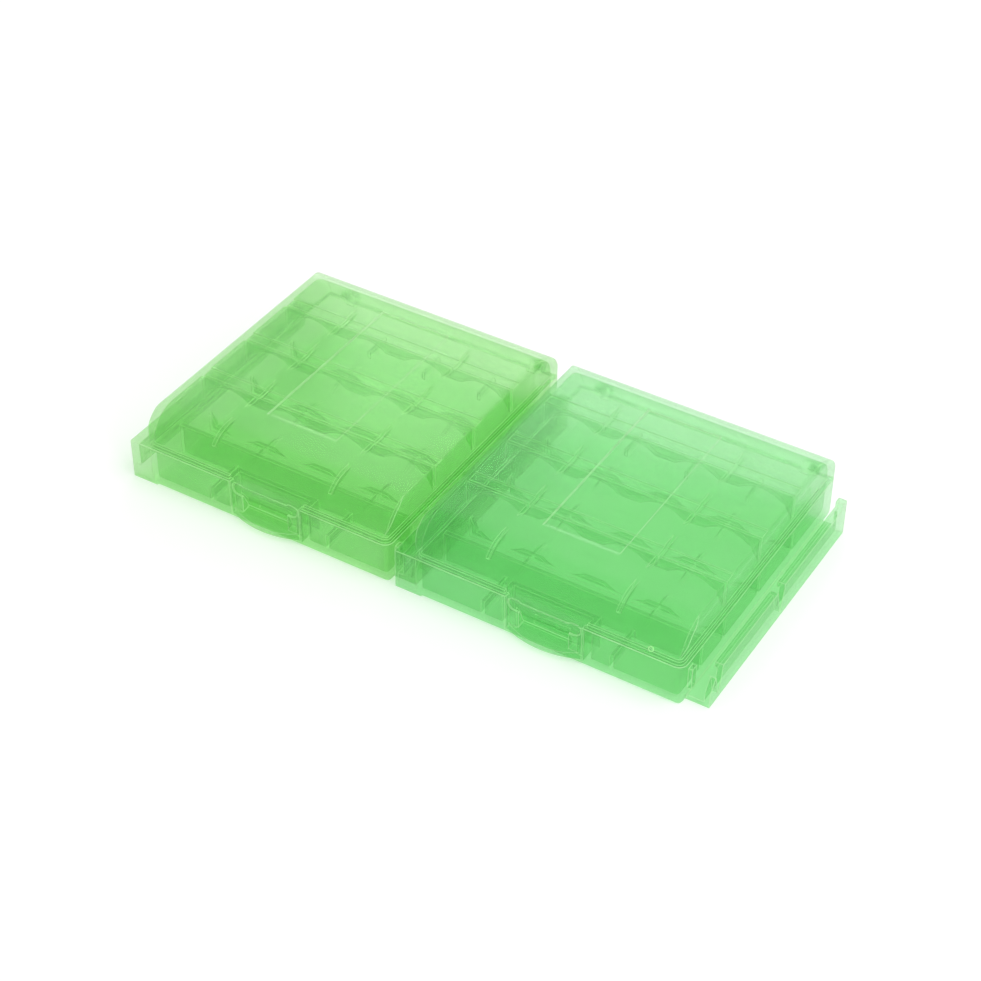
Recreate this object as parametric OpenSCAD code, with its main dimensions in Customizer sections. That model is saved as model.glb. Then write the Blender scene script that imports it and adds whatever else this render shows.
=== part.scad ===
// Storage case for eight round cells: two hinged four-cell cases of clear green plastic,
// hooked side by side by the rails on their side walls. Each case is two mouldings, a base and a lid.

/* [Cells] */
// Diameter of one cell
cell_d = 14.5; // [13.5:0.1:15.5]
// Length of one cell
cell_l = 50.5; // [46:0.5:52]
// Cells side by side in one case
cells = 4; // [2:1:6]
// Room left over across the whole row of cells
row_play = 0.1; // [0.1:0.1:1]
// Room left over along a cell
end_play = 0.6; // [0.2:0.1:2]
// Room between a cell and the arches and cradles around it
cell_gap = 0.15; // [0.1:0.05:0.4]

/* [Shell] */
// Depth of a case, from front to back
case_d = 67; // [64:1:76]
// Height of a closed case
case_h = 18; // [17.8:0.1:21]
// Thickness of the walls, the floor and the top
wall = 1.2; // [0.9:0.1:1.4]
// Height of the seam between base and lid
seam_z = 9.4; // [8.8:0.1:10]
// Gap between the two rims
seam_gap = 0.1; // [0.05:0.05:0.2]
// Radius of the upright corners at the front
corner_r = 2; // [1.6:0.1:3]
// Radius of the upright corners at the rear
rear_corner_r = 0.7; // [0.5:0.1:2]
// Radius along the top of the side walls
edge_r = 1.3; // [1.2:0.1:2]
// Radius around the underside of the base
foot_r = 0.8; // [0.4:0.1:1]
// Radius along the base's lower rear edge
rear_foot_r = 3; // [1.3:0.1:3.4]
// Radius of the lid's front shoulder
front_r = 8.3; // [6:0.1:8.3]
// Radius of the lid's rear shoulder
rear_r = 8; // [4:0.1:8.3]

/* [Rim] */
// Height of the locating lip that stands up inside the lid
lip_h = 0.8; // [0.5:0.1:1.2]
// Thickness of the locating lip
lip_t = 0.5; // [0.4:0.05:0.6]
// Clearance around the locating lip
lip_gap = 0.12; // [0.1:0.02:0.2]
// Length of side wall at the back that has no lip
lip_stop = 6; // [4:0.5:10]
// Distance that the lip ends short of the latch pocket
lip_end = 0.5; // [0.3:0.1:2]

/* [Label panel] */
// Width of the sunk panel on the lid
panel_w = 17; // [10:0.5:40]
// Length of the sunk panel
panel_l = 43.2; // [20:0.2:48]
// Distance from the front of the case to the panel
panel_front = 13.5; // [10:0.5:16]
// Depth of the panel
panel_sink = 0.35; // [0.2:0.05:0.5]
// Length of the ramp at the panel's front edge
panel_ramp = 1.1; // [0.5:0.1:2]

/* [Ribs] */
// Thickness of the cross ribs
rib_t = 1; // [0.8:0.1:1.4]
// Width of the low pad on the lid's roof that each rib stands on
pad_w = 3.4; // [2:0.1:5]
// Height of the pad
pad_h = 0.4; // [0.2:0.1:0.6]
// Distance that the row of ribs stands forward of the cells' middle
rib_forward = 1.2; // [0:0.1:2]
// Distance between cross ribs
rib_pitch = 15.1; // [12:0.1:18]
// Cross ribs in each half
rib_count = 3; // [1:1:3]
// Width of the land between two arches
land_w = 4.8; // [2:0.1:6]
// Width of the rib where it runs down a side wall
leg_w = 1.6; // [1:0.1:2.5]
// Distance that the rib's legs stop short of the cells' centre height
leg_stop = 2.45; // [1.5:0.05:4]
// Thickness of the small fins that cross the ribs
fin_t = 0.8; // [0.7:0.1:1.2]
// Length of a fin
fin_l = 11.5; // [8:0.5:14]
// Depth of a fin
fin_deep = 1.2; // [0.8:0.1:1.8]
// Length of the slope at each end of a fin
fin_slope = 3; // [0.5:0.1:3.5]
// Depth of the fins in the front shoulder
shoulder_fin = 1.2; // [0.8:0.1:1.6]
// Angle up the front shoulder at which its fins begin
shoulder_from = 40; // [20:1:44]
// Length of the fins' tapered tail on the flat roof
shoulder_tail = 2.2; // [1:0.1:4]
// Distance from the front wall to the cells' end stop
stop_back = 8.6; // [7:0.1:9.4]
// Thickness of the end stop
stop_t = 1; // [0.8:0.1:1.4]
// Gap between the end stop's top and the seam
stop_drop = 0.2; // [0.1:0.1:2]
// Height of the floor ribs in front of the end stop
floor_rib_h = 3.2; // [1.5:0.1:6]
// Length of the low ribs between the cells' rear ends
rear_rib_l = 6.3; // [4:0.1:8]
// Height of those ribs
rear_rib_h = 2; // [1:0.1:2.2]

/* [Latch] */
// Width of the latch tongue
tongue_w = 17; // [14:0.5:22]
// Thickness of the tongue
tongue_t = 1.2; // [1:0.05:1.4]
// Height of the tongue's lower end
tongue_foot = 1.1; // [1:0.1:1.5]
// Thickness of the base's floor under the tongue
pocket_floor = 0.8; // [0.6:0.1:0.9]
// Height of the thinned band across the top of the tongue
flex_h = 2.7; // [2:0.1:3.2]
// Depth of the thinned band
flex_cut = 0.35; // [0.2:0.05:0.5]
// Margin beside the thinned band
flex_side = 0.4; // [0.3:0.1:1]
// Radius of the thinned band's lower corners
flex_r = 1.5; // [0.5:0.1:1.8]
// Width of the finger scoop
scoop_w = 11.2; // [9:0.2:14]
// Depth of the finger scoop
scoop_deep = 2; // [1:0.1:2.4]
// Height of the ledge under the scoop, above the tongue's lower end
ledge_h = 2; // [1.5:0.1:2.4]
// Drop of the ledge towards the front
ledge_drop = 0.3; // [0:0.1:0.5]
// Distance that the thumb lip stands out from the tongue
thumb_out = 1.7; // [1:0.1:2.5]
// Thickness of the thumb lip's edge
thumb_edge = 0.9; // [0.6:0.1:1.2]
// Radius of the two latching beads
bead_r = 0.45; // [0.4:0.05:0.5]
// Height of the tongue's bead above its lower end
bead_up = 1.5; // [1:0.1:1.7]
// Length of the latching beads
bead_l = 8; // [6:0.5:9]
// Clearance between the two beads when the latch is shut
bead_clear = 0.25; // [0.15:0.05:0.3]
// Clearance between tongue and base
tongue_gap = 0.5; // [0.45:0.05:0.7]
// Clearance at each side of the tongue
tongue_side = 0.3; // [0.2:0.1:0.6]

/* [Hinge] */
// Outer radius of the hinge lugs and ears
lug_r = 1.5; // [1.4:0.1:1.8]
// Radius of the hinge pins
pin_r = 0.7; // [0.6:0.05:0.75]
// Running clearance around a pin
pin_gap = 0.05; // [0.03:0.01:0.1]
// Distance from the side of the case to the middle of a lug
lug_in = 4.8; // [4.2:0.1:8]
// Distance of the hinge axis behind the rear wall
axis_out = 0.4; // [0.2:0.1:0.5]
// Thickness of the lugs on the base
lug_t = 1.4; // [1.2:0.1:2.4]
// Thickness of the ears on the lid
ear_t = 1.4; // [1.2:0.1:2.4]
// Clearance between ears and lugs, and around them
lug_gap = 0.25; // [0.2:0.05:0.4]
// Distance that a pin stands out of its lug
pin_out = 0.2; // [0:0.1:0.6]

/* [Rails] */
// Distance that the channel stands out from the base
channel_out = 4.9; // [4.8:0.1:6]
// Thickness of the channel's wall
channel_t = 1.2; // [1:0.1:1.4]
// Gap between the channel's wall and the hook's top plate above it
channel_drop = 1.1; // [0.3:0.1:1.4]
// Thickness of the channel's floor
channel_floor = 1.2; // [1:0.1:1.6]
// Distance that the lip along the channel reaches inwards
channel_lip = 0.65; // [0.5:0.05:0.8]
// Height of the lip along the channel
channel_lip_h = 1.2; // [0.8:0.1:1.6]
// Distance from the front of the case to the channel
channel_front = 2.4; // [2:0.1:4]
// Distance from the back of the case to the channel
channel_back = 4.4; // [3:0.1:8]
// Radius of the channel's lead-in
lead_r = 5.5; // [3:0.1:6]
// Width of the notches in the channel's wall, at the top
notch_w = 3.6; // [2:0.1:5]
// Distance from the channel's front end to its first notch
notch_front = 3.4; // [3.2:0.1:6]
// Width of a notch at its foot
notch_foot = 0.5; // [0.3:0.1:1]
// Length of the stop post at the channel's back end
post_l = 1.5; // [1:0.1:3]
// Height of the post above the channel's wall
post_h = 1.3; // [0.8:0.1:4]
// Thickness of the hook's top plate
hook_top = 1; // [0.8:0.1:1.3]
// Thickness of the hook's leg
hook_t = 1.3; // [1:0.1:1.4]
// Height of the hook's leg above the ground
hook_foot = 2.7; // [2:0.1:3.5]
// Distance that the bead along the leg stands out
hook_bead = 0.5; // [0.4:0.05:0.6]
// Height of the bead along the leg
hook_bead_h = 1.2; // [0.8:0.1:1.4]
// Thickness of the plate at the hook's front end
hook_end = 1; // [0.8:0.1:1.6]
// Clearance between hook and channel
rail_gap = 0.25; // [0.2:0.05:0.4]
// Clearance between the channel and the next case
next_gap = 0.7; // [0.4:0.1:1.2]
// Distance that the block at the channel's mouth stands out from the side wall
block_out = 0.9; // [0.5:0.1:1.1]
// Length of that block
block_l = 1.6; // [1:0.1:3]
// Height of that block
block_h = 5; // [2:0.1:6]
// Gap between that block and the seam
block_drop = 1.4; // [0.3:0.1:2]

/* [Hidden] */
$fn = 64;
// Overlap that lets two shapes of one moulding fuse
fuse = 0.3;
over = 1;

// The case follows from its row of cells
inner_w = cells * cell_d + row_play;
case_w = inner_w + 2 * wall;
half_w = case_w / 2;
half_d = case_d / 2;
rim_z = seam_z + seam_gap;
top_in = case_h - wall;
cell_z = wall + cell_gap / 2 + cell_d / 2;
arch_r = cell_d / 2 + cell_gap;
cell_x = [for (i = [0 : cells - 1]) (i - (cells - 1) / 2) * cell_d];
// Half-height of the arch where the land cuts across it
land_rise = sqrt(pow(arch_r, 2) - pow((cell_d - land_w) / 2, 2));

// Lengthwise places, all from the front wall backwards
stop_y = -half_d + wall + stop_back;
bay_mid = stop_y + stop_t + (cell_l + end_play) / 2;
rib_y = [for (i = [0 : rib_count - 1]) bay_mid - rib_forward + (i - (rib_count - 1) / 2) * rib_pitch];
fin_x = [-cell_d, cell_d];

// Latch places: the scoop bulges inwards, and the base's wall steps in behind it
tongue_back = -half_d + tongue_t;
bulge_back = -half_d + scoop_deep + tongue_t;
recess_face = bulge_back + tongue_gap;
recess_w = tongue_w + 2 * tongue_side;
ledge_z = tongue_foot + ledge_h;
lid_bead_z = tongue_foot + bead_up;
base_bead_z = lid_bead_z + 2 * bead_r + bead_clear;

// Hinge axis: just behind the rear wall, midway in the seam
axis_y = half_d + axis_out;
lug_x = half_w - lug_in;
axis_z = seam_z + seam_gap / 2;

// Rail places, measured outwards from the side wall that carries the channel
channel_top = seam_z - hook_top - channel_drop;
lip_face = channel_out - channel_t - channel_lip;
case_gap = channel_out + next_gap;
leg_face = lip_face - rail_gap;
hook_out = case_gap - leg_face + hook_t;
channel_y0 = -half_d + channel_front;
channel_y1 = half_d - channel_back;
hook_y1 = channel_y1 - post_l - rail_gap;
module_x = (case_w + case_gap) / 2;

left_green = [0.50, 0.86, 0.40, 0.6];
right_green = [0.40, 0.86, 0.50, 0.6];

// An upright block with rounded corners, centred on the Z axis, moved in by inset on every side
module plan(inset, z0, z1) {
    w = case_w - 2 * inset;
    d = case_d - 2 * inset;
    fr = max(corner_r - inset, 0.4);
    rr = max(rear_corner_r - inset, 0.4);
    translate([0, 0, z0])
        linear_extrude(z1 - z0)
            union() {
                translate([-w / 2, -d / 2 + fr])
                    square([w, d - fr - rr]);
                translate([-w / 2 + fr, -d / 2])
                    square([w - 2 * fr, d / 2]);
                translate([-w / 2 + rr, 0])
                    square([w - 2 * rr, d / 2]);
                for (s = [-1, 1]) {
                    translate([s * (w / 2 - fr), -d / 2 + fr])
                        circle(fr);
                    translate([s * (w / 2 - rr), d / 2 - rr])
                        circle(rr);
                }
            }
}

// A flat shape drawn in Y and Z, given its length in X, centred
module along_x(length) {
    rotate([90, 0, 90])
        linear_extrude(length, center = true)
            children();
}

// A flat shape drawn in X and Z, given its thickness in Y, centred on y
module along_y(y, thick) {
    translate([0, y, 0])
        rotate([90, 0, 0])
            linear_extrude(thick, center = true)
                children();
}

// Side view of the lid: flat top and a large round shoulder at the front and at the rear
module lid_side(inset) {
    y0 = -half_d + inset;
    y1 = half_d - inset;
    top = case_h - inset;
    fr = front_r - inset;
    rr = rear_r - inset;
    union() {
        translate([y0 + fr, 0])
            square([y1 - rr - y0 - fr, top]);
        translate([y0, 0])
            square([y1 - y0, top - max(fr, rr)]);
        translate([y0 + fr, top - fr])
            circle(fr, $fn = 96);
        translate([y1 - rr, top - rr])
            circle(rr, $fn = 96);
        translate([y0, 0])
            square([fr, top - fr]);
        translate([y1 - rr, 0])
            square([rr, top - rr]);
    }
}

// Front view of the lid: rounded only along the top of the side walls
module lid_front(inset) {
    w = case_w - 2 * inset;
    top = case_h - inset;
    r = max(edge_r - inset, 0.1);
    union() {
        translate([-w / 2, 0])
            square([w, top - r]);
        translate([-w / 2 + r, 0])
            square([w - 2 * r, top]);
        for (s = [-1, 1])
            translate([s * (w / 2 - r), top - r])
                circle(r);
    }
}

// The lid's form, whole, moved in by inset
module lid_form(inset, z0) {
    intersection() {
        plan(inset, z0, case_h + over);
        along_x(case_w + over)
            lid_side(inset);
        along_y(0, case_d + over)
            lid_front(inset);
    }
}

// Side view of the base: a small radius at the front and a larger one at the rear
module base_side(inset) {
    y0 = -half_d + inset;
    y1 = half_d - inset;
    fr = max(foot_r - inset, 0.1);
    rr = max(rear_foot_r - inset, 0.1);
    union() {
        translate([y0, inset + fr])
            square([y1 - rr - y0, seam_z]);
        translate([y0 + fr, inset])
            square([y1 - rr - y0 - fr, seam_z]);
        translate([y1 - rr - fuse, inset + rr])
            square([rr + fuse, seam_z]);
        translate([y0 + fr, inset + fr])
            circle(fr);
        translate([y1 - rr, inset + rr])
            circle(rr, $fn = 96);
    }
}

// Front view of the base: rounded only along the bottom of the side walls
module base_front(inset) {
    w = case_w - 2 * inset;
    r = max(foot_r - inset, 0.1);
    union() {
        translate([-w / 2, inset + r])
            square([w, seam_z]);
        translate([-w / 2 + r, inset])
            square([w - 2 * r, seam_z]);
        for (s = [-1, 1])
            translate([s * (w / 2 - r), inset + r])
                circle(r);
    }
}

// The base's form, whole up to z1, moved in by inset
module base_form(inset, z1) {
    intersection() {
        plan(inset, inset, z1);
        along_x(case_w + over)
            base_side(inset);
        along_y(0, case_d + over)
            base_front(inset);
    }
}

// Outline of a cross rib: up is 1 for the lid's arches and -1 for the base's cradles
module rib_outline(up) {
    far = up > 0 ? top_in + fuse : wall - fuse;
    land = cell_z + up * land_rise;
    leg = cell_z + up * leg_stop;
    span = inner_w / 2 + fuse;
    difference() {
        union() {
            translate([-span, min(land, far)])
                square([2 * span, abs(far - land)]);
            for (s = [-1, 1])
                translate([s * (span - (leg_w + fuse) / 2) - (leg_w + fuse) / 2, min(leg, far)])
                    square([leg_w + fuse, abs(far - leg)]);
        }
        for (x = cell_x)
            translate([x, cell_z])
                circle(arch_r, $fn = 96);
    }
}

// The small fins that stand along the case where they cross the ribs
module cross_fins(up) {
    far = up > 0 ? top_in + fuse : wall - fuse;
    face = up > 0 ? top_in : wall;
    tip = face - up * fin_deep;
    for (x = fin_x, y = rib_y)
        translate([x, y, 0])
            along_x(fin_t)
                polygon([
                    [-fin_l / 2, far],
                    [-fin_l / 2, face],
                    [-fin_l / 2 + fin_slope, tip],
                    [fin_l / 2 - fin_slope, tip],
                    [fin_l / 2, face],
                    [fin_l / 2, far]]);
}

// The fins inside the front shoulder, from part way up it to a tapered tail on the flat roof
module shoulder_fins() {
    r = front_r - wall;
    for (x = fin_x)
        translate([x, -half_d + front_r, case_h - front_r])
            along_x(fin_t)
                union() {
                    intersection() {
                        difference() {
                            circle(r + fuse, $fn = 96);
                            circle(r - shoulder_fin, $fn = 96);
                        }
                        polygon([
                            [0, 0],
                            [0, r + over],
                            [-r - over, r + over],
                            [-r - over, (r + over) * tan(shoulder_from)]]);
                    }
                    polygon([
                        [-fuse, r + fuse],
                        [-fuse, r - shoulder_fin],
                        [0, r - shoulder_fin],
                        [shoulder_tail, r],
                        [shoulder_tail, r + fuse]]);
                }
}

// The low pads on the roof: each rib stands at the front edge of its pad
module pads() {
    for (y = rib_y)
        translate([-inner_w / 2 - fuse, y - pad_w / 2, top_in - pad_h])
            cube([inner_w + 2 * fuse, pad_w, pad_h + fuse]);
}

// The sunk label panel: a flat pocket whose front edge is a ramp
module panel_pocket() {
    y0 = -half_d + panel_front;
    along_x(panel_w)
        polygon([
            [y0, case_h + fuse],
            [y0, case_h],
            [y0 + panel_ramp, case_h - panel_sink],
            [y0 + panel_l, case_h - panel_sink],
            [y0 + panel_l, case_h + fuse]]);
}

// The locating lip, or with grow the room for it: a thin wall inside the front and side rims
module rim_lip(z0, z1, grow) {
    difference() {
        plan(wall - lip_t - grow, z0, z1);
        plan(wall + grow, z0 - over, z1 + over);
        translate([-half_w - over, half_d - lip_stop + grow, z0 - over])
            cube([case_w + 2 * over, lip_stop + over, z1 - z0 + 2 * over]);
        translate([-recess_w / 2 - lip_end + grow, -half_d - over, z0 - over])
            cube([recess_w + 2 * lip_end - 2 * grow, over + 2 * wall, z1 - z0 + 2 * over]);
    }
}

// A round bar along X, for beads, knuckles, pins and bores
module bar(x, y, z, r, length) {
    translate([x, y, z])
        rotate([0, 90, 0])
            cylinder(h = length, r = r, center = true);
}

// The tongue of the latch: a plate flush with the front wall, scooped for a fingertip
module tongue() {
    lip_y = -half_d - thumb_out;
    chord = tongue_w / 2 - 0.5;
    crescent_r = (pow(chord, 2) + pow(thumb_out, 2)) / (2 * thumb_out);
    difference() {
        union() {
            translate([-tongue_w / 2, -half_d, tongue_foot])
                cube([tongue_w, tongue_t, rim_z + fuse - tongue_foot]);
            scoop_bulge();
            intersection() {
                along_x(tongue_w)
                    polygon([
                        [tongue_back, tongue_foot],
                        [lip_y, tongue_foot],
                        [lip_y, tongue_foot + thumb_edge],
                        [-half_d, ledge_z - ledge_drop],
                        [tongue_back, ledge_z - ledge_drop]]);
                translate([0, lip_y + crescent_r, 0])
                    cylinder(h = seam_z, r = crescent_r, $fn = 96);
            }
        }
        flex_band();
        scoop();
    }
    bar(0, bulge_back, lid_bead_z, bead_r, bead_l);
}

// The scoop in the tongue's face: it deepens downwards to the ledge
module scoop() {
    along_x(scoop_w)
        polygon([
            [-half_d - over, seam_z - flex_h],
            [-half_d + flex_cut, seam_z - flex_h],
            [-half_d + scoop_deep - 0.3, ledge_z + 0.5],
            [-half_d + scoop_deep, ledge_z],
            [-half_d, ledge_z - ledge_drop],
            [-half_d - over, ledge_z - ledge_drop]]);
}

// The plastic behind the scoop, as thick as the tongue
module scoop_bulge() {
    along_x(scoop_w + 2 * tongue_t)
        polygon([
            [tongue_back - fuse, seam_z - flex_h],
            [tongue_back, seam_z - flex_h],
            [bulge_back, ledge_z + 0.6],
            [bulge_back, tongue_foot],
            [tongue_back - fuse, tongue_foot]]);
}

// The cut that thins the tongue below the seam, so that it can flex
module flex_band() {
    w = tongue_w - 2 * flex_side;
    z0 = seam_z - flex_h;
    h = flex_h - 0.3;
    along_y(-half_d, 2 * flex_cut)
        union() {
            translate([-w / 2, z0 + flex_r])
                square([w, h - flex_r]);
            translate([-w / 2 + flex_r, z0])
                square([w - 2 * flex_r, h]);
            for (s = [-1, 1])
                translate([s * (w / 2 - flex_r), z0 + flex_r])
                    circle(flex_r);
        }
}

// The pocket in the base's front that takes the tongue
module latch_pocket() {
    translate([-recess_w / 2, -half_d - over, pocket_floor])
        cube([recess_w, recess_face + half_d + over, seam_z]);
}

// The wall behind the pocket, which steps in from the front wall
module latch_wall() {
    translate([-recess_w / 2 - wall, -half_d + foot_r, 0])
        cube([recess_w + 2 * wall, recess_face + wall + half_d - foot_r, seam_z]);
}

// One side's lug on the base, or with grow the room for it: side is 1 or -1
module lug(side, grow) {
    bar(side * lug_x, axis_y, axis_z, lug_r + grow, lug_t + 2 * grow);
}

// One side's ear on the lid, or with grow the room for it
module ear(side, grow) {
    bar(side * (lug_x - (lug_t + ear_t) / 2 - lug_gap), axis_y, axis_z, lug_r + grow, ear_t + 2 * grow);
}

// One side's pin, which stands outwards from the lid's ear through the lug
module hinge_pin(side) {
    from = lug_x - lug_t / 2 - lug_gap - ear_t;
    to = lug_x + lug_t / 2 + pin_out;
    bar(side * (from + to) / 2, axis_y, axis_z, pin_r, to - from);
}

// The channel on the right side: floor, wall, inward lip, lead-in, notches and stop post
module channel() {
    length = channel_y1 - channel_y0;
    x0 = half_w;
    wall_x = x0 + channel_out - channel_t;
    lip_x = x0 + lip_face;
    translate([x0 - fuse, channel_y0, 0])
        cube([channel_out + fuse, length, channel_floor]);
    difference() {
        union() {
            translate([wall_x, channel_y0, 0])
                cube([channel_t, length, channel_top]);
            translate([lip_x, channel_y0, channel_top - channel_lip_h])
                cube([channel_lip + fuse, length, channel_lip_h]);
        }
        lead_in();
        notch(channel_y0 + notch_front);
        notch((channel_y0 + channel_y1) / 2);
    }
    translate([lip_x, channel_y1 - post_l, 0])
        cube([channel_out - lip_face, post_l, channel_top + post_h]);
}

// What the rounded lead-in takes off the front end of the channel's wall
module lead_in() {
    translate([half_w + channel_out / 2, 0, 0])
        along_x(channel_out + over)
            difference() {
                translate([channel_y0 - over, channel_top - lead_r])
                    square([lead_r + over, lead_r + over]);
                translate([channel_y0 + lead_r, channel_top - lead_r])
                    circle(lead_r);
            }
}

// A notch in the channel's wall with one steep side and one slanted side
module notch(y) {
    low = channel_floor;
    translate([half_w + channel_out / 2, y, 0])
        along_x(channel_out + over)
            polygon([
                [0, low],
                [notch_foot, low],
                [notch_w / 2, channel_top + over],
                [-notch_w / 2, channel_top + over]]);
}

// The hook on the left side: top plate, leg, bead and the plate that closes its front end
module hook() {
    length = hook_y1 + half_d;
    x0 = -half_w - hook_out;
    leg_h = seam_z - hook_foot;
    translate([x0, -half_d, seam_z - hook_top])
        cube([hook_out + fuse, length, hook_top]);
    translate([x0, -half_d, hook_foot])
        cube([hook_t, length, leg_h]);
    translate([x0 + hook_t - fuse, channel_y0, channel_top - channel_lip_h - rail_gap - hook_bead_h])
        cube([hook_bead + fuse, hook_y1 - channel_y0, hook_bead_h]);
    translate([x0, -half_d, 0])
        cube([hook_out + corner_r, hook_end, seam_z]);
}

// One base, centred on its own origin
module base(tint) {
    color(tint)
        difference() {
            union() {
                difference() {
                    base_form(0, seam_z);
                    base_form(wall, seam_z + over);
                }
                intersection() {
                    latch_wall();
                    base_form(0, seam_z);
                }
                rim_lip(seam_z - fuse, seam_z + lip_h, 0);
                intersection() {
                    union() {
                        for (y = rib_y)
                            along_y(y, rib_t)
                                rib_outline(-1);
                        cross_fins(-1);
                        end_stop();
                        floor_ribs();
                        rear_ribs();
                    }
                    base_form(wall - fuse, seam_z);
                }
                channel();
                hook();
                side_block();
                for (s = [-1, 1])
                    lug(s, 0);
            }
            latch_pocket();
            for (s = [-1, 1]) {
                ear(s, lug_gap);
                bar(s * lug_x, axis_y, axis_z, pin_r + pin_gap, lug_t + over);
            }
        }
    color(tint)
        bar(0, recess_face, base_bead_z, bead_r, bead_l);
}

// The wall that keeps the cells clear of the latch
module end_stop() {
    translate([-inner_w / 2 - fuse, stop_y, wall - fuse])
        cube([inner_w + 2 * fuse, stop_t, seam_z - stop_drop - wall + fuse]);
}

// Two low ribs on the floor between the front wall and the end stop
module floor_ribs() {
    for (x = fin_x)
        translate([x - fin_t / 2, -half_d + wall - fuse, wall - fuse])
            cube([fin_t, stop_back + 2 * fuse, floor_rib_h + fuse]);
}

// Low ribs on the floor between the cells' rear ends, up to the rear wall
module rear_ribs() {
    for (i = [1 : cells - 1])
        translate([(i - cells / 2) * cell_d - fin_t / 2, half_d - wall - rear_rib_l, wall - fuse])
            cube([fin_t, rear_rib_l + fuse, rear_rib_h + fuse]);
}

// The small block on the side wall at the channel's mouth
module side_block() {
    translate([half_w - fuse, channel_y0, seam_z - block_drop - block_h])
        cube([block_out + fuse, block_l, block_h]);
}

// One lid, centred on its own origin
module lid(tint) {
    color(tint)
        difference() {
            union() {
                difference() {
                    lid_form(0, rim_z);
                    lid_form(wall, rim_z - over);
                }
                intersection() {
                    union() {
                        for (y = rib_y)
                            along_y(y - (pad_w - rib_t) / 2, rib_t)
                                rib_outline(1);
                        pads();
                        cross_fins(1);
                        shoulder_fins();
                    }
                    lid_form(wall - fuse, rim_z);
                }
                tongue();
                for (s = [-1, 1])
                    ear(s, 0);
            }
            panel_pocket();
            rim_lip(rim_z - over, seam_z + lip_h + lip_gap, lip_gap);
            for (s = [-1, 1])
                lug(s, lug_gap);
        }
    color(tint)
        for (s = [-1, 1])
            hinge_pin(s);
}

module left_base() {
    translate([-module_x, 0, 0])
        base(left_green);
}

module left_lid() {
    translate([-module_x, 0, 0])
        lid(left_green);
}

module right_base() {
    translate([module_x, 0, 0])
        base(right_green);
}

module right_lid() {
    translate([module_x, 0, 0])
        lid(right_green);
}

left_base();
left_lid();
right_base();
right_lid();
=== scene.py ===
import math

import bpy
import numpy as np
from mathutils import Matrix, Vector


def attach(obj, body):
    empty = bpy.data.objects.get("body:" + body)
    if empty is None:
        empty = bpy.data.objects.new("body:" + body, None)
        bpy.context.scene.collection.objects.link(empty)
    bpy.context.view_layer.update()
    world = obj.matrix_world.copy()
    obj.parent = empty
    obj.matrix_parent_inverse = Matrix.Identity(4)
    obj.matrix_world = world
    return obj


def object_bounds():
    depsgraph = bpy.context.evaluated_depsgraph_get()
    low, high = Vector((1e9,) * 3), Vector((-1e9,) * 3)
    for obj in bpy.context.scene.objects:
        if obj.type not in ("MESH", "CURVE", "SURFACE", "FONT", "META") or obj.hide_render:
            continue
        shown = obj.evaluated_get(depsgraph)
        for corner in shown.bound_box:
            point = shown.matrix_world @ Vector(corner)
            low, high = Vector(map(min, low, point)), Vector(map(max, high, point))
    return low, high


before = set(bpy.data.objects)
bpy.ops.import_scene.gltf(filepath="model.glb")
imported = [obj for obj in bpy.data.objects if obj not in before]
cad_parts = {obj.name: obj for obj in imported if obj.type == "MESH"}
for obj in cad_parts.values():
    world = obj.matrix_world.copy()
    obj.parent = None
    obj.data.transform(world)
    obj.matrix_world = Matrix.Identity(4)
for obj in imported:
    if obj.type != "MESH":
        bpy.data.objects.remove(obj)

scene = bpy.context.scene
scene.view_settings.view_transform = "Standard"
cad_low, cad_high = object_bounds()

# Camera
# The photograph was taken from the front right, well above the pair, with a long lens. Its place was
# fitted to the corners, seams and ribs of the object; the picture is 981 pixels square.
CAMERA_AZIMUTH = math.radians(30.282)
CAMERA_ELEVATION = math.radians(39.58)
CAMERA_ROLL = math.radians(1.087)
CAMERA_DISTANCE = 0.471698
CAMERA_TARGET = Vector((0.008814, -0.00143, 0.007903))
PICTURE_SIDE = 981
FOCAL_PIXELS = 2289.684
CENTRE_PIXEL = (521.556, 485.917)
SENSOR_MM = 36.0
NEAREST_SEEN = 0.01


def photograph_camera():
    """Stands the camera on the ray from the target at its azimuth and elevation, and rolls it."""
    back = Vector((math.sin(CAMERA_AZIMUTH) * math.cos(CAMERA_ELEVATION),
                   -math.cos(CAMERA_AZIMUTH) * math.cos(CAMERA_ELEVATION),
                   math.sin(CAMERA_ELEVATION)))
    right = Vector((math.cos(CAMERA_AZIMUTH), math.sin(CAMERA_AZIMUTH), 0))
    up = back.cross(right)
    turn = Matrix((right, up, back)).transposed() @ Matrix.Rotation(CAMERA_ROLL, 3, "Z")
    data = bpy.data.cameras.new("camera")
    data.sensor_width = SENSOR_MM
    data.lens = SENSOR_MM * FOCAL_PIXELS / PICTURE_SIDE
    data.shift_x = (PICTURE_SIDE / 2 - CENTRE_PIXEL[0]) / PICTURE_SIDE
    data.shift_y = (CENTRE_PIXEL[1] - PICTURE_SIDE / 2) / PICTURE_SIDE
    data.clip_start = NEAREST_SEEN
    camera = bpy.data.objects.new("camera", data)
    camera.matrix_world = Matrix.Translation(CAMERA_TARGET + back * CAMERA_DISTANCE) @ turn.to_4x4()
    scene.collection.objects.link(camera)
    scene.camera = camera


photograph_camera()

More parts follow.
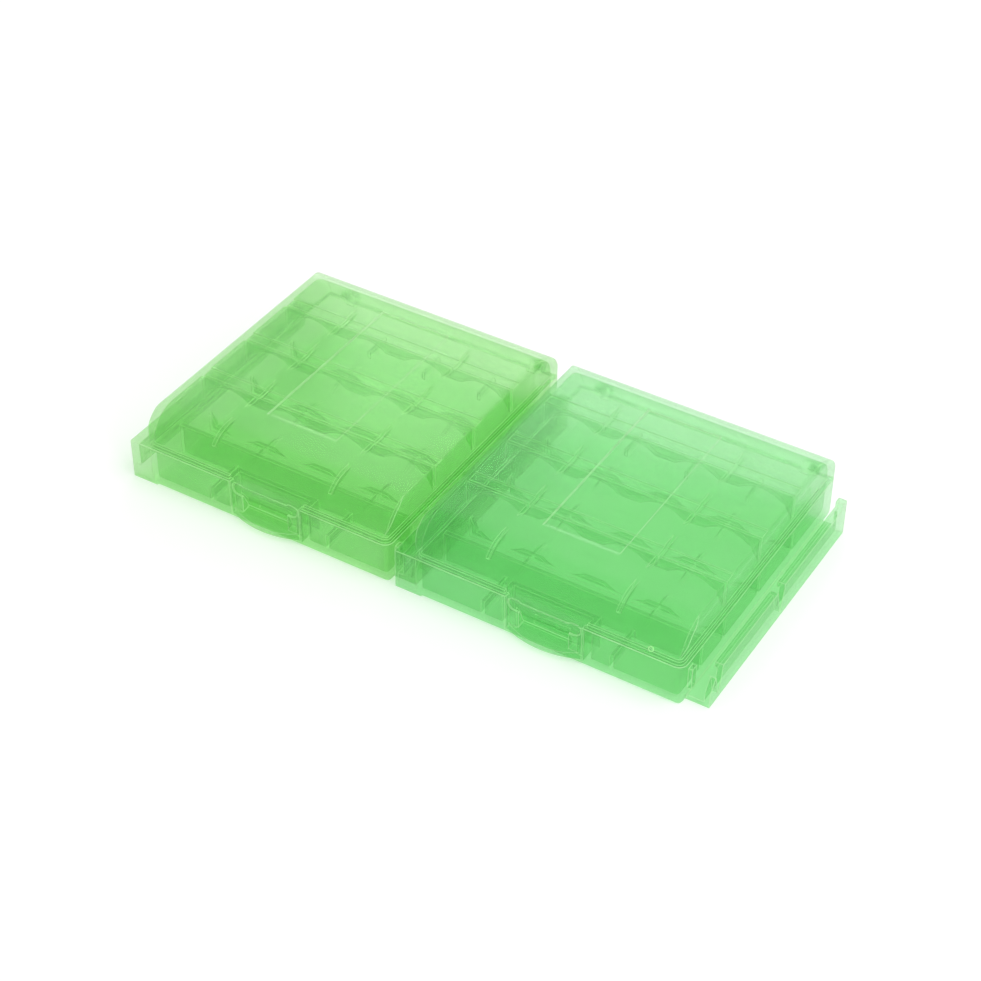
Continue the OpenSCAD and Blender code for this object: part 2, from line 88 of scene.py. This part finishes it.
# Table and surroundings
# A white table under white surroundings, with a large soft lamp high at the right, another low behind
# and a small one at the right, whose glints show the rounded corners. The camera, the gloss and the
# clear plastic see the surroundings as plain white, but they light the object a little less.
TABLE_REACH = 3.0
TABLE_GAP = 0.00002
TABLE_WHITE = (0.86, 0.86, 0.86, 1)
NEAR_GLOW = 0.2
FAR_GLOW = 0.45
GLOW_REACH = (0.15, 0.9)
SKY_LIGHT = 0.7
HIGH_LAMP = (0.42, 0.05, 0.85)
HIGH_LAMP_WIDTH = 0.5
HIGH_LAMP_WATTS = 2.6
REAR_LAMP = (-0.30, 0.90, 0.42)
REAR_LAMP_WIDTH = 0.6
REAR_LAMP_WATTS = 1.3
SIDE_LAMP = (0.62, -0.36, 0.40)
SIDE_LAMP_WIDTH = 0.14
SIDE_LAMP_WATTS = 0.8
LIGHT_STEPS = 24


def white_surroundings():
    """White where it is seen, also in gloss and through plastic; SKY_LIGHT strong where it lights."""
    world = bpy.data.worlds.new("surroundings")
    scene.world = world
    world.use_nodes = True
    nodes, links = world.node_tree.nodes, world.node_tree.links
    nodes.clear()
    output = nodes.new("ShaderNodeOutputWorld")
    path = nodes.new("ShaderNodeLightPath")
    in_gloss = nodes.new("ShaderNodeMath")
    in_gloss.operation = "MAXIMUM"
    seen = nodes.new("ShaderNodeMath")
    seen.operation = "MAXIMUM"
    mix = nodes.new("ShaderNodeMixShader")
    lighting = nodes.new("ShaderNodeBackground")
    lighting.inputs["Strength"].default_value = SKY_LIGHT
    lighting.inputs["Color"].default_value = (1, 1, 1, 1)
    white = nodes.new("ShaderNodeBackground")
    white.inputs["Strength"].default_value = 1.0
    white.inputs["Color"].default_value = (1, 1, 1, 1)
    links.new(path.outputs["Is Camera Ray"], in_gloss.inputs[0])
    links.new(path.outputs["Is Glossy Ray"], in_gloss.inputs[1])
    links.new(in_gloss.outputs[0], seen.inputs[0])
    links.new(path.outputs["Is Transmission Ray"], seen.inputs[1])
    links.new(seen.outputs[0], mix.inputs["Fac"])
    links.new(lighting.outputs[0], mix.inputs[1])
    links.new(white.outputs[0], mix.inputs[2])
    links.new(mix.outputs[0], output.inputs["Surface"])


def white_table():
    """A flat table top, its corners at plus and minus TABLE_REACH, that stays white far off."""
    mesh = bpy.data.meshes.new("table")
    corner = np.array([(-1, -1, 0), (1, -1, 0), (1, 1, 0), (-1, 1, 0)]) * TABLE_REACH
    corner[:, 2] = cad_low[2] - TABLE_GAP
    mesh.from_pydata(corner.tolist(), [], [(0, 1, 2, 3)])
    table = bpy.data.objects.new("table", mesh)
    scene.collection.objects.link(table)
    material = bpy.data.materials.new("white_table")
    material.use_nodes = True
    nodes, links = material.node_tree.nodes, material.node_tree.links
    nodes.clear()
    output = nodes.new("ShaderNodeOutputMaterial")
    diffuse = nodes.new("ShaderNodeBsdfDiffuse")
    diffuse.inputs["Color"].default_value = TABLE_WHITE
    shine = nodes.new("ShaderNodeEmission")
    where = nodes.new("ShaderNodeTexCoord")
    away = nodes.new("ShaderNodeVectorMath")
    away.operation = "LENGTH"
    fade = nodes.new("ShaderNodeMapRange")
    fade.inputs["From Min"].default_value, fade.inputs["From Max"].default_value = GLOW_REACH
    fade.inputs["To Min"].default_value = NEAR_GLOW
    fade.inputs["To Max"].default_value = FAR_GLOW
    links.new(where.outputs["Object"], away.inputs[0])
    links.new(away.outputs["Value"], fade.inputs["Value"])
    links.new(fade.outputs["Result"], shine.inputs["Strength"])
    add = nodes.new("ShaderNodeAddShader")
    links.new(diffuse.outputs[0], add.inputs[0])
    links.new(shine.outputs[0], add.inputs[1])
    links.new(add.outputs[0], output.inputs["Surface"])
    mesh.materials.append(material)


def square_lamp(name, place, width, watts):
    """A square lamp that looks from its place at the middle of the object."""
    data = bpy.data.lights.new(name, "AREA")
    data.shape = "SQUARE"
    data.size = width
    data.energy = watts
    lamp = bpy.data.objects.new(name, data)
    aim = (-Vector(place)).to_track_quat("-Z", "Y").to_matrix().to_4x4()
    lamp.matrix_world = Matrix.Translation(Vector(place)) @ aim
    scene.collection.objects.link(lamp)


white_surroundings()
white_table()
square_lamp("high_lamp", HIGH_LAMP, HIGH_LAMP_WIDTH, HIGH_LAMP_WATTS)
square_lamp("rear_lamp", REAR_LAMP, REAR_LAMP_WIDTH, REAR_LAMP_WATTS)
square_lamp("side_lamp", SIDE_LAMP, SIDE_LAMP_WIDTH, SIDE_LAMP_WATTS)
scene.cycles.transparent_max_bounces = LIGHT_STEPS
scene.cycles.transmission_bounces = LIGHT_STEPS
scene.cycles.glossy_bounces = LIGHT_STEPS
scene.cycles.max_bounces = LIGHT_STEPS

# Left base
# The lower half of the left case, one moulding of clear yellowish green polypropylene with its cradle
# ribs, latch pocket and rails. The plastic is a little milky, and its edges are painted a paler green
# as a highlight.
LEFT_TINT = (0.80, 0.935, 0.757)
LEFT_BASE_MILK = (0.44, 0.84, 0.38)
# The base's shade colour for the lamps' rays is darker than the lid's, though it is the same plastic:
# painted shade on the table under the middle.
LEFT_BASE_SHADE = (0.53, 0.81, 0.49)
# Near the softened edges the milky share rises and its colour turns pale green: a painted highlight
# on the edges.
EDGE_REACH = 0.00032
EDGE_SAMPLES = 6
EDGE_STARTS = 0.999
EDGE_FULL = 0.85
EDGE_SHARE = 0.8
PAINTED_EDGE_HIGHLIGHT = (0.88, 1.0, 0.77, 1)
MILK_SHARE = 0.08
WAVE_SCALE = 90.0
WAVE_DETAIL = 1.0
WAVE_STRENGTH = 0.02
WAVE_HEIGHT = 0.0004
PLASTIC_IOR = 1.3
PLASTIC_HAZE = 0.12
GLOSS_IOR = 1.45
GLOSS_HAZE = 0.1
GLOSS_SHARE = 0.65
STRAIGHT_SHARE = 0.9
SENT_ON_SHARE = 0.5


def skin_with_painted_edge_highlight():
    """The skin that the mouldings share: softened edges painted a paler green as a highlight, and a
    faint wave.
    """
    group = bpy.data.node_groups.new("skin_with_painted_edge_highlight", "ShaderNodeTree")
    face = group.interface
    face.new_socket("Milk Colour", in_out="INPUT", socket_type="NodeSocketColor")
    face.new_socket("Colour", in_out="OUTPUT", socket_type="NodeSocketColor")
    face.new_socket("Milk", in_out="OUTPUT", socket_type="NodeSocketFloat")
    face.new_socket("Normal", in_out="OUTPUT", socket_type="NodeSocketVector")
    nodes, links = group.nodes, group.links
    given = nodes.new("NodeGroupInput")
    result = nodes.new("NodeGroupOutput")
    where = nodes.new("ShaderNodeTexCoord")
    waves = nodes.new("ShaderNodeTexNoise")
    waves.inputs["Scale"].default_value = WAVE_SCALE
    waves.inputs["Detail"].default_value = WAVE_DETAIL
    bevel = nodes.new("ShaderNodeBevel")
    bevel.samples = EDGE_SAMPLES
    bevel.inputs["Radius"].default_value = EDGE_REACH
    bump = nodes.new("ShaderNodeBump")
    bump.inputs["Strength"].default_value = WAVE_STRENGTH
    bump.inputs["Distance"].default_value = WAVE_HEIGHT
    geometry = nodes.new("ShaderNodeNewGeometry")
    flatness = nodes.new("ShaderNodeVectorMath")
    flatness.operation = "DOT_PRODUCT"
    edge = nodes.new("ShaderNodeMapRange")
    edge.inputs["From Min"].default_value = EDGE_STARTS
    edge.inputs["From Max"].default_value = EDGE_FULL
    milk = nodes.new("ShaderNodeMapRange")
    milk.inputs["To Min"].default_value = MILK_SHARE
    milk.inputs["To Max"].default_value = EDGE_SHARE
    tone = nodes.new("ShaderNodeMixRGB")
    tone.inputs["Color2"].default_value = PAINTED_EDGE_HIGHLIGHT
    links.new(where.outputs["Object"], waves.inputs["Vector"])
    links.new(waves.outputs["Fac"], bump.inputs["Height"])
    links.new(bevel.outputs["Normal"], bump.inputs["Normal"])
    links.new(geometry.outputs["Normal"], flatness.inputs[0])
    links.new(bevel.outputs["Normal"], flatness.inputs[1])
    links.new(flatness.outputs["Value"], edge.inputs["Value"])
    links.new(edge.outputs["Result"], milk.inputs["Value"])
    links.new(edge.outputs["Result"], tone.inputs["Fac"])
    links.new(given.outputs["Milk Colour"], tone.inputs["Color1"])
    links.new(tone.outputs["Color"], result.inputs["Colour"])
    links.new(milk.outputs["Result"], result.inputs["Milk"])
    links.new(bump.outputs["Normal"], result.inputs["Normal"])
    return group


def clear_plastic(name, tint, milk, shade):
    """Clear tinted plastic: part straight through, part bent and hazy, part milky with a painted
    highlight at the edges, under a gloss.

    A bent ray takes the root of the base colour at each face, so that colour is the tint squared.
    """
    material = bpy.data.materials.new(name)
    material.use_nodes = True
    nodes, links = material.node_tree.nodes, material.node_tree.links
    nodes.clear()
    output = nodes.new("ShaderNodeOutputMaterial")
    skin = nodes.new("ShaderNodeGroup")
    skin.node_tree = skin_group
    skin.inputs["Milk Colour"].default_value = (*milk, 1)
    bent = nodes.new("ShaderNodeBsdfPrincipled")
    bent.inputs["Base Color"].default_value = (*(t * t for t in tint), 1)
    bent.inputs["IOR"].default_value = PLASTIC_IOR
    bent.inputs["Roughness"].default_value = PLASTIC_HAZE
    bent.inputs["Transmission Weight"].default_value = 1.0
    straight = nodes.new("ShaderNodeBsdfTransparent")
    straight.inputs["Color"].default_value = (*tint, 1)
    through = nodes.new("ShaderNodeMixShader")
    through.inputs["Fac"].default_value = STRAIGHT_SHARE
    sent_back = nodes.new("ShaderNodeBsdfDiffuse")
    sent_on = nodes.new("ShaderNodeBsdfTranslucent")
    cloud = nodes.new("ShaderNodeMixShader")
    cloud.inputs["Fac"].default_value = SENT_ON_SHARE
    body = nodes.new("ShaderNodeMixShader")
    gloss = nodes.new("ShaderNodeBsdfGlossy")
    gloss.inputs["Roughness"].default_value = GLOSS_HAZE
    mirrored = nodes.new("ShaderNodeFresnel")
    mirrored.inputs["IOR"].default_value = GLOSS_IOR
    side = nodes.new("ShaderNodeNewGeometry")
    outside = nodes.new("ShaderNodeMath")
    outside.operation = "MULTIPLY_ADD"
    outside.inputs[1].default_value = -GLOSS_SHARE
    outside.inputs[2].default_value = GLOSS_SHARE
    outer_gloss = nodes.new("ShaderNodeMath")
    outer_gloss.operation = "MULTIPLY"
    surface = nodes.new("ShaderNodeMixShader")
    for_lamps = nodes.new("ShaderNodeBsdfTransparent")
    for_lamps.inputs["Color"].default_value = (*shade, 1)
    path = nodes.new("ShaderNodeLightPath")
    mix = nodes.new("ShaderNodeMixShader")
    links.new(skin.outputs["Normal"], bent.inputs["Normal"])
    links.new(skin.outputs["Normal"], gloss.inputs["Normal"])
    links.new(skin.outputs["Normal"], mirrored.inputs["Normal"])
    links.new(side.outputs["Backfacing"], outside.inputs[0])
    links.new(mirrored.outputs[0], outer_gloss.inputs[0])
    links.new(outside.outputs[0], outer_gloss.inputs[1])
    links.new(skin.outputs["Colour"], sent_back.inputs["Color"])
    links.new(skin.outputs["Colour"], sent_on.inputs["Color"])
    links.new(skin.outputs["Milk"], body.inputs["Fac"])
    links.new(bent.outputs[0], through.inputs[1])
    links.new(straight.outputs[0], through.inputs[2])
    links.new(sent_back.outputs[0], cloud.inputs[1])
    links.new(sent_on.outputs[0], cloud.inputs[2])
    links.new(through.outputs[0], body.inputs[1])
    links.new(cloud.outputs[0], body.inputs[2])
    links.new(path.outputs["Is Shadow Ray"], mix.inputs["Fac"])
    links.new(outer_gloss.outputs[0], surface.inputs["Fac"])
    links.new(body.outputs[0], surface.inputs[1])
    links.new(gloss.outputs[0], surface.inputs[2])
    links.new(surface.outputs[0], mix.inputs[1])
    links.new(for_lamps.outputs[0], mix.inputs[2])
    links.new(mix.outputs[0], output.inputs["Surface"])
    return material


def finish_moulding(name, material):
    """Gives a moulding of the frame its material; its shape stays as the frame has it."""
    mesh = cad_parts[name].data
    mesh.materials.clear()
    mesh.materials.append(material)


skin_group = skin_with_painted_edge_highlight()
left_base_green = clear_plastic("left_base_green", LEFT_TINT, LEFT_BASE_MILK, LEFT_BASE_SHADE)
finish_moulding("left_base", left_base_green)

# Left lid
# The upper half of the left case, moulded in the same plastic, with its shoulders, arched ribs, sunk
# label panel and latch tongue. Its shade colour for the lamps' rays is lighter than the base's, whose
# darker one is painted shade.
LEFT_LID_MILK = (0.46, 0.86, 0.40)
LEFT_LID_SHADE = (0.75, 0.90, 0.72)

left_lid_green = clear_plastic("left_lid_green", LEFT_TINT, LEFT_LID_MILK, LEFT_LID_SHADE)
finish_moulding("left_lid", left_lid_green)

# Right base
# The same moulding as the left base, in plastic of a slightly bluer green. The hook rail on its left
# side sits in the channel rail of the left base.
RIGHT_TINT = (0.785, 0.935, 0.788)
RIGHT_BASE_MILK = (0.40, 0.84, 0.42)
# Darker than the lid's shade colour, though it is the same plastic: painted shade on the table under
# the middle.
RIGHT_BASE_SHADE = (0.50, 0.81, 0.52)

right_base_green = clear_plastic("right_base_green", RIGHT_TINT, RIGHT_BASE_MILK, RIGHT_BASE_SHADE)
finish_moulding("right_base", right_base_green)

# Right lid
# The same moulding as the left lid, in the bluer green of the right base. Its pins turn in the bores
# of the right base's lugs.
RIGHT_LID_MILK = (0.42, 0.86, 0.44)
RIGHT_LID_SHADE = (0.73, 0.90, 0.74)

right_lid_green = clear_plastic("right_lid_green", RIGHT_TINT, RIGHT_LID_MILK, RIGHT_LID_SHADE)
finish_moulding("right_lid", right_lid_green)

# Gate mark
# The small round mark that the moulding gate leaves on the right lid, low on its front shoulder near
# the right end. It is the lid's own plastic, frosted, and stands a tenth of a millimetre proud.
MARK_PLACE = (0.05625, -0.03333, 0.01134)
MARK_SLOPE = math.radians(11.4)
MARK_RADIUS = 0.00052
MARK_WIDTH = 0.00014
MARK_HEIGHT = 0.0001
MARK_GREEN = (0.32, 0.78, 0.28, 1)
MARK_PALE = (0.44, 0.86, 0.36, 1)
MARK_GRAIN = 4000.0
MARK_HAZE = 0.25
STEPS_ROUND = 48
STEPS_OF_RIM = 12


def frosted_plastic():
    """The mark's frosted plastic: a fine cloud turns its green paler here and there."""
    material = bpy.data.materials.new("gate_mark_green")
    material.use_nodes = True
    nodes, links = material.node_tree.nodes, material.node_tree.links
    plastic = nodes["Principled BSDF"]
    plastic.inputs["Roughness"].default_value = MARK_HAZE
    where = nodes.new("ShaderNodeTexCoord")
    frost = nodes.new("ShaderNodeTexNoise")
    frost.inputs["Scale"].default_value = MARK_GRAIN
    tone = nodes.new("ShaderNodeMixRGB")
    tone.inputs["Color1"].default_value = MARK_GREEN
    tone.inputs["Color2"].default_value = MARK_PALE
    links.new(where.outputs["Object"], frost.inputs["Vector"])
    links.new(frost.outputs["Fac"], tone.inputs["Fac"])
    links.new(tone.outputs["Color"], plastic.inputs["Base Color"])
    return material


def gate_mark():
    """A ring: the middle line turns by a in the plane of the shoulder, and the rim by b about it.

    In the plane: radius + width cos b, along cos a and sin a. Out of the shoulder: height sin b.
    """
    a, b = np.meshgrid(np.linspace(0, 2 * np.pi, STEPS_ROUND, endpoint=False),
                       np.linspace(0, 2 * np.pi, STEPS_OF_RIM, endpoint=False), indexing="ij")
    out = MARK_RADIUS + MARK_WIDTH * np.cos(b)
    across, along, rise = out * np.cos(a), out * np.sin(a), MARK_HEIGHT * np.sin(b)
    place = np.stack([MARK_PLACE[0] + across,
                      MARK_PLACE[1] + along * math.sin(MARK_SLOPE) - rise * math.cos(MARK_SLOPE),
                      MARK_PLACE[2] + along * math.cos(MARK_SLOPE) + rise * math.sin(MARK_SLOPE)],
                     axis=-1)
    index = np.arange(a.size).reshape(a.shape)
    next_a, next_b = np.roll(index, -1, axis=0), np.roll(index, -1, axis=1)
    faces = np.stack([index, next_a, np.roll(next_a, -1, axis=1), next_b], axis=-1)
    mesh = bpy.data.meshes.new("right_lid_gate_mark")
    mesh.from_pydata(place.reshape(-1, 3).tolist(), [], faces.reshape(-1, 4).tolist())
    mesh.polygons.foreach_set("use_smooth", np.ones(len(mesh.polygons), dtype=bool))
    mesh.materials.append(frosted_plastic())
    mark = bpy.data.objects.new("right_lid_gate_mark", mesh)
    scene.collection.objects.link(mark)
    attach(mark, "right_lid")


gate_mark()
